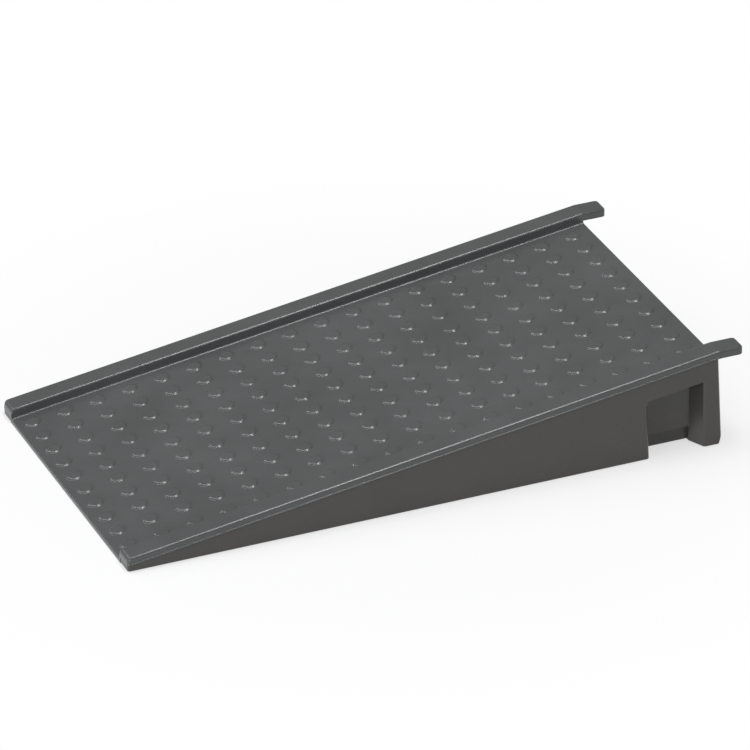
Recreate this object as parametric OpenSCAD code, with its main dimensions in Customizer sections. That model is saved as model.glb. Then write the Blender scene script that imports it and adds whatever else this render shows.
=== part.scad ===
// Access ramp for a low platform: an upper moulding with the studded tread, two hollow curbs and two
// level ends, on a lower moulding with side walls, pockets and columns, stiffened inside by webs.
// X runs up the ramp, Y across it and Z up. The origin is on the floor, at the middle of the length
// and of the width. Right is -Y and left is +Y, as seen by someone walking up. Sizes in millimetres.

/* [Ramp] */
// Length of the tread on the floor, from the toe to the high edge
tread_run = 1100; // [950:10:1250]
// Overall width, over the beads of the two skirts
ramp_w = 620; // [540:10:760]
// Height of the tread at its high edge
deck_h = 165; // [140:1:190]
// Height of the tread at the toe
toe_h = 7; // [5:0.5:10]
// Thickness of the tread plate
plate_t = 5; // [4:0.5:7]
// Length of the solid nose behind the toe
nose_l = 40; // [30:1:60]
// Rounding of the toe's top edge
toe_edge_r = 2.5; // [1:0.5:4]

/* [Curbs] */
// Width of each curb
curb_w = 42.5; // [36:0.5:60]
// Height of the curbs above the tread, square to it
curb_h = 18.5; // [15:0.5:28]
// Thickness of a curb's top and inner wall
curb_t = 4; // [3:0.5:5]
// Rounding of a curb's two top edges
curb_edge_r = 4; // [2:0.5:6]
// Fillet between a curb and the tread
curb_foot_r = 3; // [1:0.5:5]
// Rounding of the curbs' toe ends, seen from the side
curb_toe_r = 10; // [4:1:14]
// Rounding of the curbs' toe ends, seen from above
curb_corner_r = 7; // [3:1:12]
// Height of the outer skirt, from the curb's top down to the joint with the frame
skirt_h = 14.5; // [10:0.5:20]
// Thickness of the outer skirt
skirt_t = 3.2; // [2.5:0.1:4]
// Radius of the bead along the skirt's lower edge
bead_r = 1.7; // [1:0.1:2.5]
// How far the bead stands out of the skirt
bead_out = 1.5; // [0.5:0.1:2]

/* [Level ends] */
// Length of the level ends beyond the tread
end_l = 45; // [30:1:70]
// Rounding of a level end's free corners, seen from above
end_r = 9; // [4:1:14]
// Length of the solid root that closes the curb's hollow below the level end
end_root_l = 12; // [8:1:20]

/* [Studs] */
// Diameter of a stud at its foot
stud_d = 30; // [20:1:36]
// Diameter of a stud's flat top
stud_top_d = 19; // [10:1:24]
// Height of a stud
stud_h = 2.6; // [1.5:0.1:4]
// Distance between studs along the slope
stud_pitch_x = 61.6; // [45:0.1:80]
// Distance between studs across the ramp
stud_pitch_y = 52.3; // [42:0.1:56]
// Distance from the toe to the first column of studs, along the slope
stud_first = 28; // [24:1:50]
// Number of rows across the ramp
stud_rows = 10; // [8:1:10]

/* [Frame] */
// Thickness of the frame's walls
wall_t = 6; // [5:0.5:8]
// How far the side walls lie behind the bead's outer edge
wall_inset = 2; // [1.6:0.1:3]
// How far the frame's toe ends lie behind the cover's toe
toe_inset = 0.4; // [0.3:0.1:2]
// Height of the tongue that the side walls raise inside the skirt
tongue_h = 8; // [4:0.5:9]
// Draft of the end wall and of the pockets' low end, in degrees
draft_a = 2.5; // [0.5:0.5:4]
// How far the end wall's top stands behind the tread's high edge
end_lip = 0.8; // [0.7:0.1:1.5]
// Rounding of the frame's upright corners
corner_r = 7; // [3:0.5:9]
// Clearance between pieces that fit into each other
fit_gap = 0.3; // [0.2:0.05:0.4]

/* [Pockets] */
// Distance from the tread's high edge back to a pocket's low end, at the floor
pocket_back = 132; // [120:1:150]
// Length of a pocket's mouth
pocket_l = 103.5; // [80:0.5:105]
// Depth of a pocket from the side wall
pocket_depth = 33; // [20:1:40]
// How much shorter a pocket is at its back than at its mouth
pocket_taper = 15.5; // [5:0.5:30]
// Distance from the curb's top down to a pocket's ceiling
pocket_cover = 50; // [40:1:60]
// Height of the undercut at the foot of a pocket's back wall
undercut_h = 29; // [15:1:40]
// Depth of that undercut
undercut_depth = 8; // [4:1:10]
// Height of the cut corner at the foot of the end wall
foot_cut_z = 18; // [10:1:30]
// Length of the cut corner at the foot of the end wall
foot_cut_x = 8; // [4:1:14]

/* [Webs] */
// Thickness of a web
web_t = 5; // [4:0.5:7]
// Thickness of the guide ribs that hold a web's ends
guide_t = 3; // [2:0.5:5]
// How far the guide ribs stand out of the walls
guide_d = 8; // [6:1:10]
// Radius of the drain arches at the foot of the webs
arch_r = 9; // [5:1:12]

/* [Screws] */
// Diameter of a screw's shank
screw_d = 5; // [4:0.5:6]
// Length of a screw's shank
screw_l = 26; // [22:1:30]
// Diameter of a screw's head
head_d = 10; // [8:0.5:12]
// Height of a screw's head
head_h = 3.4; // [2.5:0.1:4]
// Diameter of the frame's screw bosses
frame_boss_d = 16; // [14:0.5:20]
// Height of the frame's screw bosses
frame_boss_h = 14; // [12:0.5:16]
// Width of the arms that carry the frame's screw bosses
boss_arm_w = 8; // [6:0.5:10]
// Distance between the bosses at the high end and the end wall
boss_off = 1; // [1:0.5:4]
// Diameter of the cover's screw bosses
cover_boss_d = 12; // [10:0.5:14]
// Height of the cover's bosses below the tread plate, at the end wall
end_boss_h = 10; // [8:0.5:12]

/* [Feet] */
// How far the rubber feet stand out below the frame
foot_proud = 1.5; // [1:0.1:3]
// Diameter of a rubber foot
foot_d = 34; // [26:1:40]
// Thickness of a rubber foot's disc
foot_t = 5; // [4:0.5:6]
// Diameter of the foot's neck, which goes through the foot plate
neck_d = 12; // [9:0.5:14]
// Diameter of the barb that holds the foot from above
barb_d = 16; // [14:0.5:18]
// Diameter of the barb's tip
barb_tip_d = 10; // [7:0.5:12]
// Height of the barb
barb_h = 2.5; // [2:0.5:3]
// Thickness of the foot plate above its recess
foot_plate_t = 4; // [3:0.5:5]
// Rim of the foot plate around its recess
foot_rim = 3.5; // [2.5:0.5:5]
// Distance from the toe to the first pair of feet
foot_toe_x = 92; // [85:1:95]
// Distance from the high edge back to the last pair of feet
foot_high_back = 34; // [30:1:38]
// Distance of the last pair of feet from the side walls' outer faces
foot_high_in = 74; // [72:1:100]

/* [Hidden] */
$fn = 48;

// Counts of the webs: each pair of neighbours bounds one bay.
long_webs = 4;
cross_webs = 4;

overall_l = tread_run + end_l;
slope = (deck_h - toe_h) / tread_run;
slope_a = atan(slope);
slope_l = tread_run / cos(slope_a);
half_w = ramp_w / 2;
plate_v = plate_t / cos(slope_a);
curb_in_y = half_w - curb_w;
plate_y = curb_in_y + curb_t;
skirt_y = half_w - bead_out;
hollow_y = skirt_y - skirt_t;
wall_y = half_w - wall_inset;
wall_in_y = wall_y - wall_t;
joint_up = curb_h - skirt_h;
pocket_x = tread_run - pocket_back;
stud_cols = floor((slope_l - stud_first - stud_d / 2) / stud_pitch_x) + 1;

// How far cuts run past the faces that they open, and how deep bosses and studs root in a plate.
over = 1;
root = plate_t / 3;
tall = deck_h + curb_h + over;

// Heights over the floor, at a distance x from the toe.
function tread_z(x) = toe_h + slope * x;
function under_z(x) = tread_z(x) - plate_v;
function curb_z(x) = tread_z(x) + curb_h / cos(slope_a);
function joint_z(x) = tread_z(x) + joint_up / cos(slope_a);
function roof_z(x) = curb_z(x) - curb_t / cos(slope_a);
function ceiling_z(x) = curb_z(x) - pocket_cover;

// The mitre between a curb and its level end halves the bend at the tread's high edge.
function mitre_x(z) = tread_run - (z - deck_h) * tan(slope_a / 2);

// The end wall's outer face leans by the draft, from just behind the tread's high edge.
function end_x(z) = tread_run - end_lip + (deck_h - z) * tan(draft_a);
function end_in_x(z) = end_x(z) - wall_t / cos(draft_a);

// The sill closes the frame behind the cover's nose.
sill_x = nose_l + fit_gap;
sill_in_x = sill_x + wall_t;
bay_l = (tread_run - wall_t / cos(draft_a) - sill_in_x) / (cross_webs + 1);
bay_w = 2 * wall_in_y / (long_webs + 1);
function cross_web_x(i) = sill_in_x + i * bay_l;
function long_web_y(i) = -wall_in_y + i * bay_w;

// Screws stand in the middle of each bay along the side walls, in the columns and at the end wall.
boss_y = (hollow_y + plate_y) / 2;
high_boss_x = end_in_x(deck_h) - frame_boss_d / 2 - boss_off;
side_boss_x = [for (i = [0:cross_webs - 1]) cross_web_x(i + 0.5), high_boss_x];
end_boss_y = [for (i = [1:long_webs - 1]) long_web_y(i + 0.5)];
bore_d = screw_d + 2 * fit_gap;
pilot_d = screw_d + fit_gap / 2;
pilot_depth = screw_l - frame_boss_h + fit_gap;

// Each foot sits in a plate with a recess. The side plates run into the side walls.
foot_plate_d = foot_d + 2 * fit_gap + 2 * foot_rim;
foot_recess_h = foot_t - foot_proud;
foot_side_y = wall_in_y - foot_plate_d / 2 + over;
foot_mid_x = cross_web_x(3) - web_t / 2 - guide_t - foot_plate_d / 2 - over;
foot_high_x = tread_run - foot_high_back;
foot_high_y = wall_y - foot_high_in;
foot_places = [
    [foot_toe_x, -foot_side_y],
    [foot_mid_x, -foot_side_y],
    [foot_high_x, -foot_high_y]
];

cover_colour = [0.30, 0.31, 0.31];
frame_colour = [0.24, 0.235, 0.23];
web_colour = [0.20, 0.20, 0.20];
rubber_colour = [0.10, 0.10, 0.10];
steel_colour = [0.62, 0.63, 0.65];

// Places a piece that is drawn with its origin at the toe.
module placed() {
    translate([-overall_l / 2, 0, 0])
        children();
}

// Repeats its children on both sides of the ramp.
module both_sides() {
    children();
    mirror([0, 1, 0])
        children();
}

// Stands an outline drawn in x and z upright, and runs it across the ramp between two y values.
module across(y1, y2) {
    translate([0, y2, 0])
        rotate([90, 0, 0])
            linear_extrude(y2 - y1)
                children();
}

// Lays its children on the tread: x along the slope, z square to it.
module on_slope() {
    translate([0, 0, toe_h])
        rotate([0, -slope_a, 0])
            children();
}

// The sliver to take off a corner p between edges that leave it along d1 and d2, to round it by r.
module corner_cut(p, d1, d2, r) {
    e1 = d1 / norm(d1);
    e2 = d2 / norm(d2);
    half_a = acos(e1 * e2) / 2;
    reach = r / tan(half_a);
    c = p + (e1 + e2) / norm(e1 + e2) * r / sin(half_a);
    difference() {
        polygon([
            p - (e1 + e2) * over,
            p + e1 * reach - e2 * over,
            p + e1 * reach,
            c,
            p + e2 * reach,
            p + e2 * reach - e1 * over
        ]);
        translate(c)
            circle(r);
    }
}

// Outline of the cover seen from above: toe corners and the level ends are rounded.
module cover_plan() {
    difference() {
        translate([0, -half_w])
            square([overall_l, ramp_w]);
        translate([tread_run, -curb_in_y])
            square([end_l + over, 2 * curb_in_y]);
        for (s = [-1, 1]) {
            corner_cut([0, s * half_w], [1, 0], [0, -s], curb_corner_r);
            corner_cut([overall_l, s * half_w], [-1, 0], [0, -s], end_r);
            corner_cut([overall_l, s * curb_in_y], [-1, 0], [0, s], end_r);
        }
    }
}

// The right curb's outline seen from the side: it follows the slope and levels out past the tread.
module rail_side() {
    polygon([
        [0, joint_z(0)],
        [0, curb_z(0)],
        [mitre_x(deck_h + curb_h), deck_h + curb_h],
        [overall_l, deck_h + curb_h],
        [overall_l, deck_h + joint_up],
        [mitre_x(deck_h + joint_up), deck_h + joint_up]
    ]);
}

// The curb's inner wall, from the underside of the tread plate up into the rail above it.
module inner_wall_side() {
    polygon([
        [0, under_z(0)],
        [0, joint_z(0) + skirt_h / 2],
        [tread_run, joint_z(tread_run) + skirt_h / 2],
        [tread_run, under_z(tread_run)]
    ]);
}

// The hollow inside the curb, open below, from the closed toe end to the root of the level end.
module hollow_side() {
    x1 = curb_t;
    x2 = tread_run - end_root_l;
    polygon([[x1, 0], [x1, roof_z(x1)], [x2, roof_z(x2)], [x2, 0]]);
}

// Runs a section drawn in y and z along the slope, between the toe and the tread's high edge.
module along_slope() {
    intersection() {
        on_slope()
            translate([-tall, 0, 0])
                rotate([90, 0, 90])
                    linear_extrude(slope_l + 2 * tall)
                        children();
        translate([0, -ramp_w, 0])
            cube([tread_run, 2 * ramp_w, 2 * tall]);
    }
}

// The slivers that round the curb's two top edges. Each run passes the bend and ends in the air.
module edge_cuts() {
    on_slope()
        translate([-tall, 0, 0])
            rotate([90, 0, 90])
                linear_extrude(slope_l + 2 * tall)
                    edge_cut_section();
    translate([tread_run - tall, 0, deck_h])
        rotate([90, 0, 90])
            linear_extrude(2 * tall)
                edge_cut_section();
}

module edge_cut_section() {
    corner_cut([-skirt_y, curb_h], [1, 0], [0, -1], curb_edge_r);
    corner_cut([-curb_in_y, curb_h], [-1, 0], [0, -1], curb_edge_r);
}

// The right curb with its skirt, its bead and its level end.
module curb() {
    difference() {
        union() {
            across(-skirt_y, -curb_in_y)
                rail_side();
            across(-plate_y, -curb_in_y)
                inner_wall_side();
            along_slope() {
                translate([-skirt_y + bead_r - bead_out, joint_up + bead_r])
                    circle(bead_r);
                difference() {
                    translate([-curb_in_y - over, -over])
                        square([curb_foot_r + over, curb_foot_r + over]);
                    translate([-curb_in_y + curb_foot_r, curb_foot_r])
                        circle(curb_foot_r);
                }
            }
        }
        across(-hollow_y, -plate_y)
            hollow_side();
        edge_cuts();
    }
}

// One stud: a flat-topped button whose rim is a round shoulder.
module stud() {
    rim = (stud_d - stud_top_d) / 2;
    shoulder_r = (rim * rim + stud_h * stud_h) / (2 * stud_h);
    rotate_extrude()
        union() {
            translate([0, -root])
                square([stud_top_d / 2, stud_h + root]);
            intersection() {
                translate([stud_top_d / 2, stud_h - shoulder_r])
                    circle(shoulder_r);
                translate([stud_top_d / 2 - over, -root])
                    square([rim + 2 * over, stud_h + root]);
            }
        }
}

module studs() {
    on_slope()
        for (i = [0:stud_cols - 1])
            for (j = [0:stud_rows - 1])
                translate([stud_first + i * stud_pitch_x, (j - (stud_rows - 1) / 2) * stud_pitch_y, 0])
                    stud();
}

// The tread plate with its solid nose.
module tread_plate() {
    across(-plate_y, plate_y)
        difference() {
            polygon([
                [0, 0],
                [0, toe_h],
                [tread_run, deck_h],
                [tread_run, under_z(tread_run)],
                [nose_l, under_z(nose_l)],
                [nose_l, 0]
            ]);
            corner_cut([0, toe_h], [0, -1], [1, slope], toe_edge_r);
        }
}

// The cover's screw bosses: under the curbs' roofs, and under the plate at the end wall.
module cover_bosses() {
    both_sides()
        for (x = side_boss_x)
            translate([x, -boss_y, under_z(x)])
                cylinder(h = roof_z(x) - under_z(x) + root, d = cover_boss_d);
    for (y = end_boss_y)
        translate([high_boss_x, y, under_z(high_boss_x) - end_boss_h])
            cylinder(h = end_boss_h + root, d = cover_boss_d);
}

// The pilot holes that the screws cut their threads in.
module pilot_holes() {
    both_sides()
        for (x = side_boss_x)
            translate([x, -boss_y, under_z(x) - over])
                cylinder(h = pilot_depth + over, d = pilot_d);
    for (y = end_boss_y)
        translate([high_boss_x, y, under_z(high_boss_x) - end_boss_h - over])
            cylinder(h = pilot_depth + over, d = pilot_d);
}

module tread_cover() {
    color(cover_colour)
        placed()
            difference() {
                union() {
                    tread_plate();
                    intersection() {
                        both_sides()
                            curb();
                        linear_extrude(tall + over)
                            cover_plan();
                        across(-half_w - over, half_w + over)
                            difference() {
                                square([overall_l, tall + over]);
                                corner_cut([0, curb_z(0)], [0, -1], [1, slope], curb_toe_r);
                            }
                    }
                    studs();
                    cover_bosses();
                }
                pilot_holes();
            }
}

// Outline of the frame seen from above, moved inwards by a distance g.
module frame_plan(g) {
    front = toe_inset + g;
    difference() {
        translate([front, -wall_y + g])
            square([overall_l, 2 * (wall_y - g)]);
        translate([0, -plate_y - fit_gap - g])
            square([sill_x + g, 2 * (plate_y + fit_gap + g)]);
        if (g == 0)
            for (s = [-1, 1])
                corner_cut([front, s * wall_y], [1, 0], [0, -s], curb_corner_r - wall_inset);
    }
}

// Outline of the frame seen from the side, moved inwards by g: the end wall leans and its foot is cut.
module frame_side(g) {
    polygon([
        [0, 0],
        [0, tall],
        [end_x(tall) - g, tall],
        [end_x(foot_cut_z) - g, foot_cut_z],
        [end_x(0) - foot_cut_x - g, 0]
    ]);
}

// A pocket's outline seen from above, grown by g: its far side slants towards its back.
module pocket_plan(g) {
    slant = pocket_taper / pocket_depth;
    grown_x = pocket_x + pocket_l + g * sqrt(1 + slant * slant);
    depth = pocket_depth + g;
    polygon([
        [pocket_x - tall, -wall_y - over],
        [pocket_x - tall, -wall_y + depth],
        [grown_x - slant * depth, -wall_y + depth],
        [grown_x + slant * over, -wall_y - over]
    ]);
}

// The undercut's outline seen from above, grown by g.
module undercut_plan(g) {
    depth = pocket_depth + undercut_depth + g;
    translate([pocket_x - tall, -wall_y - over])
        square([tall + pocket_l - pocket_taper + g, depth + over]);
}

// A pocket's outline seen from the side, grown by g: it leans at its low end and has a sloping ceiling.
module pocket_side(g) {
    x2 = pocket_x + tall;
    x1 = pocket_x - g - (ceiling_z(pocket_x) + g) * tan(draft_a);
    polygon([[pocket_x - g, -over], [x1, ceiling_z(x1) + g], [x2, ceiling_z(x2) + g], [x2, -over]]);
}

// The undercut's outline seen from the side, grown by g.
module undercut_side(g) {
    top = undercut_h + g;
    x2 = pocket_x + tall;
    polygon([[pocket_x - g, -over], [pocket_x - g - top * tan(draft_a), top], [x2, top], [x2, -over]]);
}

// The right pocket with its undercut, grown by g.
module pocket(g) {
    intersection() {
        linear_extrude(tall)
            pocket_plan(g);
        across(-half_w - over, 0)
            pocket_side(g);
    }
    intersection() {
        linear_extrude(tall)
            undercut_plan(g);
        across(-half_w - over, 0)
            undercut_side(g);
    }
}

// The rounding of an upright corner that leans with the draft, at a distance x along the floor.
module leaning_corner(x, r, h) {
    translate([x, -wall_y, 0])
        rotate([0, -draft_a, 0])
            linear_extrude(h)
                corner_cut([0, 0], [-1, 0], [0, 1], r);
}

module frame_outer() {
    difference() {
        intersection() {
            translate([0, 0, foot_proud])
                linear_extrude(tall)
                    frame_plan(0);
            across(-half_w, half_w)
                frame_side(0);
        }
        both_sides() {
            pocket(0);
            leaning_corner(pocket_x, corner_r, ceiling_z(pocket_x) - corner_r);
            leaning_corner(end_x(0), corner_r, tall);
            linear_extrude(ceiling_z(pocket_x + pocket_l))
                corner_cut([pocket_x + pocket_l, -wall_y], [1, 0], [-pocket_taper, pocket_depth], corner_r);
        }
    }
}

module frame_inner() {
    difference() {
        intersection() {
            linear_extrude(tall)
                frame_plan(wall_t);
            across(-half_w, half_w)
                frame_side(wall_t);
        }
        both_sides()
            pocket(wall_t);
    }
}

// The space below the joint between the two mouldings, seen from the side.
module below_joint_side() {
    polygon([
        [0, 0],
        [0, joint_z(0)],
        [mitre_x(deck_h + joint_up), deck_h + joint_up],
        [overall_l, deck_h + joint_up],
        [overall_l, 0]
    ]);
}

// Everything below the cover: under the plate, up to the joint at the walls, and the tongues.
module below_cover() {
    tongue_x1 = curb_t + fit_gap;
    tongue_x2 = tread_run - end_root_l - fit_gap;
    across(-half_w, half_w)
        polygon([[curb_t, 0], [curb_t, under_z(curb_t)], [overall_l, under_z(overall_l)], [overall_l, 0]]);
    intersection() {
        across(-half_w, half_w)
            below_joint_side();
        translate([0, -half_w, 0])
            cube([curb_t, ramp_w, tall]);
    }
    both_sides() {
        across(-half_w, -wall_in_y)
            below_joint_side();
        across(-hollow_y + fit_gap, -wall_in_y)
            polygon([
                [tongue_x1, 0],
                [tongue_x1, joint_z(tongue_x1) + tongue_h],
                [tongue_x2, joint_z(tongue_x2) + tongue_h],
                [tongue_x2, 0]
            ]);
    }
}

// The space below the tread plate seen from the side, above the level of the frame's lower edges.
module under_plate_side(g) {
    polygon([
        [sill_x, foot_proud],
        [sill_x, under_z(sill_x) - g],
        [overall_l, under_z(overall_l) - g],
        [overall_l, foot_proud]
    ]);
}

// A pair of guide ribs on both sides of a web's end, on a wall at the origin that faces +X.
module guide_pair() {
    for (s = [-1, 1])
        translate([-over, (s * (web_t + 2 * fit_gap + guide_t) - guide_t) / 2, -over])
            cube([guide_d + over, guide_t, tall]);
}

module guides() {
    intersection() {
        union() {
            both_sides()
                for (i = [1:cross_webs])
                    translate([cross_web_x(i), -wall_in_y, 0])
                        rotate([0, 0, 90])
                            guide_pair();
            for (i = [1:long_webs]) {
                translate([sill_in_x, long_web_y(i), 0])
                    guide_pair();
                translate([end_in_x(0), long_web_y(i), 0])
                    rotate([0, -draft_a, 0])
                        mirror([1, 0, 0])
                            guide_pair();
            }
        }
        across(-half_w, half_w)
            intersection() {
                frame_side(wall_t / 2);
                under_plate_side(fit_gap);
            }
    }
}

// The frame's screw bosses, each on an arm from its wall.
module frame_bosses() {
    both_sides()
        for (x = side_boss_x)
            translate([x, -boss_y, under_z(x) - frame_boss_h]) {
                cylinder(h = frame_boss_h, d = frame_boss_d);
                translate([-boss_arm_w / 2, boss_y - wall_in_y - over, 0])
                    cube([boss_arm_w, wall_in_y - boss_y + over, frame_boss_h]);
            }
    for (y = end_boss_y)
        translate([high_boss_x, y, under_z(high_boss_x) - end_boss_h - frame_boss_h]) {
            cylinder(h = frame_boss_h, d = frame_boss_d);
            translate([0, -boss_arm_w / 2, 0])
                cube([frame_boss_d / 2 + boss_off + wall_t / 2, boss_arm_w, frame_boss_h]);
        }
}

module screw_bores() {
    both_sides()
        for (x = side_boss_x)
            translate([x, -boss_y, under_z(x) - frame_boss_h - over])
                cylinder(h = frame_boss_h + 2 * over, d = bore_d);
    for (y = end_boss_y)
        translate([high_boss_x, y, under_z(high_boss_x) - end_boss_h - frame_boss_h - over])
            cylinder(h = frame_boss_h + 2 * over, d = bore_d);
}

// The plates that carry the feet: discs with an arm to the nearest wall.
module foot_plates() {
    h = foot_recess_h + foot_plate_t;
    both_sides() {
        for (p = foot_places)
            translate([p[0], p[1], foot_proud])
                cylinder(h = h, d = foot_plate_d);
        for (x = [foot_toe_x, foot_mid_x])
            translate([x - foot_d / 2, -wall_in_y - over, foot_proud])
                cube([foot_d, foot_plate_d / 2, h]);
        translate([foot_high_x, -foot_high_y - foot_d / 2, foot_proud])
            cube([end_in_x(0) - foot_cut_x - foot_high_x + over, foot_d, h]);
    }
}

module foot_bores() {
    both_sides()
        for (p = foot_places)
            translate([p[0], p[1], 0]) {
                cylinder(h = foot_t, d = foot_d + 2 * fit_gap);
                cylinder(h = foot_t + foot_plate_t + over, d = neck_d + fit_gap);
            }
}

module base_frame() {
    color(frame_colour)
        placed()
            difference() {
                union() {
                    intersection() {
                        difference() {
                            frame_outer();
                            frame_inner();
                        }
                        below_cover();
                    }
                    guides();
                    frame_bosses();
                    foot_plates();
                }
                screw_bores();
                foot_bores();
            }
}

// Half the height of the webs where they cross.
function cross_mid(x) = (foot_proud + under_z(x)) / 2;

// A web along the ramp: a wedge with a slot from below at each cross web.
module long_web(i) {
    slot = web_t + 2 * fit_gap;
    x1 = sill_in_x + fit_gap;
    color(web_colour)
        placed()
            across(long_web_y(i) - web_t / 2, long_web_y(i) + web_t / 2)
                difference() {
                    polygon([
                        [x1, foot_proud],
                        [x1, under_z(x1)],
                        [end_in_x(deck_h) - fit_gap, under_z(end_in_x(deck_h) - fit_gap)],
                        [end_in_x(foot_cut_z) - fit_gap, foot_cut_z],
                        [end_in_x(foot_proud) - foot_cut_x - fit_gap, foot_proud]
                    ]);
                    for (k = [1:cross_webs])
                        translate([cross_web_x(k) - slot / 2, 0])
                            square([slot, cross_mid(cross_web_x(k))]);
                    for (k = [1:cross_webs])
                        translate([cross_web_x(k + 0.5), foot_proud])
                            circle(arch_r);
                }
}

// A web across the ramp, with a slot from above at each long web.
module cross_web(i) {
    slot = web_t + 2 * fit_gap;
    x = cross_web_x(i);
    x1 = x - web_t / 2 - over;
    reach = wall_in_y - fit_gap;
    color(web_colour)
        placed()
            difference() {
                intersection() {
                    translate([x - web_t / 2, -reach, 0])
                        cube([web_t, 2 * reach, tall]);
                    across(-half_w, half_w)
                        under_plate_side(0);
                }
                for (k = [1:long_webs])
                    translate([x1, long_web_y(k) - slot / 2, cross_mid(x)])
                        cube([web_t + 2 * over, slot, tall]);
                for (k = [0:long_webs])
                    translate([x1, long_web_y(k + 0.5), foot_proud])
                        rotate([0, 90, 0])
                            cylinder(h = web_t + 2 * over, r = arch_r);
            }
}

// A pan head screw pointing up, with its head's seat at the origin and a cross recess below.
module screw() {
    recess_l = head_d / 2;
    recess_w = head_h / 3;
    recess_h = head_h / 2;
    difference() {
        union() {
            cylinder(h = screw_l, d = screw_d);
            rotate_extrude()
                intersection() {
                    translate([0, -head_h])
                        square([head_d / 2, head_h]);
                    translate([0, head_d - head_h])
                        circle(head_d);
                }
        }
        for (a = [0, 90])
            rotate([0, 0, a])
                translate([-recess_l / 2, -recess_w / 2, -head_h - over])
                    cube([recess_l, recess_w, recess_h + over]);
    }
}

module cover_screws() {
    color(steel_colour)
        placed() {
            both_sides()
                for (x = side_boss_x)
                    translate([x, -boss_y, under_z(x) - frame_boss_h])
                        screw();
            for (y = end_boss_y)
                translate([high_boss_x, y, under_z(high_boss_x) - end_boss_h - frame_boss_h])
                    screw();
        }
}

// A rubber foot: a disc with a rounded rim, a neck and a barb that snaps over the foot plate.
module foot(i, side) {
    color(rubber_colour)
        placed()
            translate([foot_places[i][0], side * foot_places[i][1], 0]) {
                rotate_extrude()
                    difference() {
                        square([foot_d / 2, foot_t]);
                        corner_cut([foot_d / 2, 0], [-1, 0], [0, 1], foot_proud);
                    }
                translate([0, 0, foot_t])
                    cylinder(h = foot_plate_t + fit_gap, d = neck_d);
                translate([0, 0, foot_t + foot_plate_t + fit_gap])
                    cylinder(h = barb_h, d1 = barb_d, d2 = barb_tip_d);
            }
}

tread_cover();
base_frame();
long_web(1);  // long_web_1
long_web(2);  // long_web_2
long_web(3);  // long_web_3
long_web(4);  // long_web_4
cross_web(1);  // cross_web_1
cross_web(2);  // cross_web_2
cross_web(3);  // cross_web_3
cross_web(4);  // cross_web_4
cover_screws();
foot(0, 1);  // foot_toe_right
foot(0, -1);  // foot_toe_left
foot(1, 1);  // foot_mid_right
foot(1, -1);  // foot_mid_left
foot(2, 1);  // foot_high_right
foot(2, -1);  // foot_high_left
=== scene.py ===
"""Looks of a wedge ramp for a low platform: cover, frame, webs, screws, feet and a plain studio."""
import math

import bmesh
import bpy
import numpy as np
from bpy.props import FloatProperty, IntProperty, PointerProperty, StringProperty
from mathutils import Euler, Matrix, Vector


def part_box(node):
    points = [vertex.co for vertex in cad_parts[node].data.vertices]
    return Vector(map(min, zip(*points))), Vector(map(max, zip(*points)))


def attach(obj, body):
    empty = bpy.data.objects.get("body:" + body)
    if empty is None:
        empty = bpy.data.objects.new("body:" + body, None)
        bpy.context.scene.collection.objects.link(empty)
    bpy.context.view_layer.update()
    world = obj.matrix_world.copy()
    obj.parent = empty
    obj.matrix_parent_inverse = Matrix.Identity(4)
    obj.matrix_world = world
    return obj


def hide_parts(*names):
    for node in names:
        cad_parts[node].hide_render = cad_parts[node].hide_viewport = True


bl_info = {
    "name": "Access ramp",
    "version": (1, 0, 0),
    "blender": (4, 5, 0),
    "location": "View3D > Sidebar > Access ramp",
    "description": "Builds the looks of a moulded access ramp round its packed pieces",
    "category": "Object",
}

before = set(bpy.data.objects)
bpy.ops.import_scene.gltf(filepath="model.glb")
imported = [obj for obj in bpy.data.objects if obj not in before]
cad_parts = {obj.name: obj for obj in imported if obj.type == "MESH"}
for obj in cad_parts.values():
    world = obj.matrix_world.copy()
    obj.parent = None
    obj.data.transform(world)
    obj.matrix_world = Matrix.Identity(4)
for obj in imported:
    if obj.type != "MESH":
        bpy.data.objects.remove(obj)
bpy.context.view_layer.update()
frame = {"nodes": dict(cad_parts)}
COVER_LO, COVER_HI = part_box("tread_cover")
BODY = "root"
WHITE = (1, 1, 1, 1)
BLACK = (0, 0, 0, 1)

MM = 0.001
WELD = 0.002 * MM            # points nearer than this are one point
ON_BORDER = 0.003 * MM       # a station this close to a border belongs to both sides
APART = 0.004 * MM           # stations closer than this are dropped
SHARP_ANGLE = math.radians(38)

CELL_STEPS = 8               # steps along each side of a stud's cell
ROUND_STEPS = 6              # steps round a corner at the end of a curb
FILLET_POINTS = 5            # points of each arc in the cover's section
EDGE_POINTS = 6
BEAD_POINTS = 9
JOINT_POINT = FILLET_POINTS  # the section's point at the foot of the curb's inner wall
ROOF_POINT = JOINT_POINT + 2 * EDGE_POINTS + BEAD_POINTS + 3  # and where the hollow's roof ends
SHOULDER_POINTS = 5          # points of the two arcs in a stud's section
FOOT_POINTS = 4
BOSS_SIDES = 24
SIDE_SCREWS = 4              # screws along each curb before the last one
END_SCREWS = (-1, 0, 1)      # places along the end wall, in steps of their pitch


def length(name, default, description):
    """A size in metres, shown in the scene's own units."""
    return FloatProperty(
        name=name, default=default, description=description, min=0.0, subtype="DISTANCE", unit="LENGTH"
    )


def colour(name, default, description):
    """A colour as the sRGB hex value that a maker's chart gives."""
    return StringProperty(name=name, default=default, description=description)


def strength(name, default, description, unit="NONE"):
    """How strong a light is: watts for a lamp, a plain factor for the world."""
    return FloatProperty(name=name, default=default, description=description, min=0.0, unit=unit)


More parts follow.
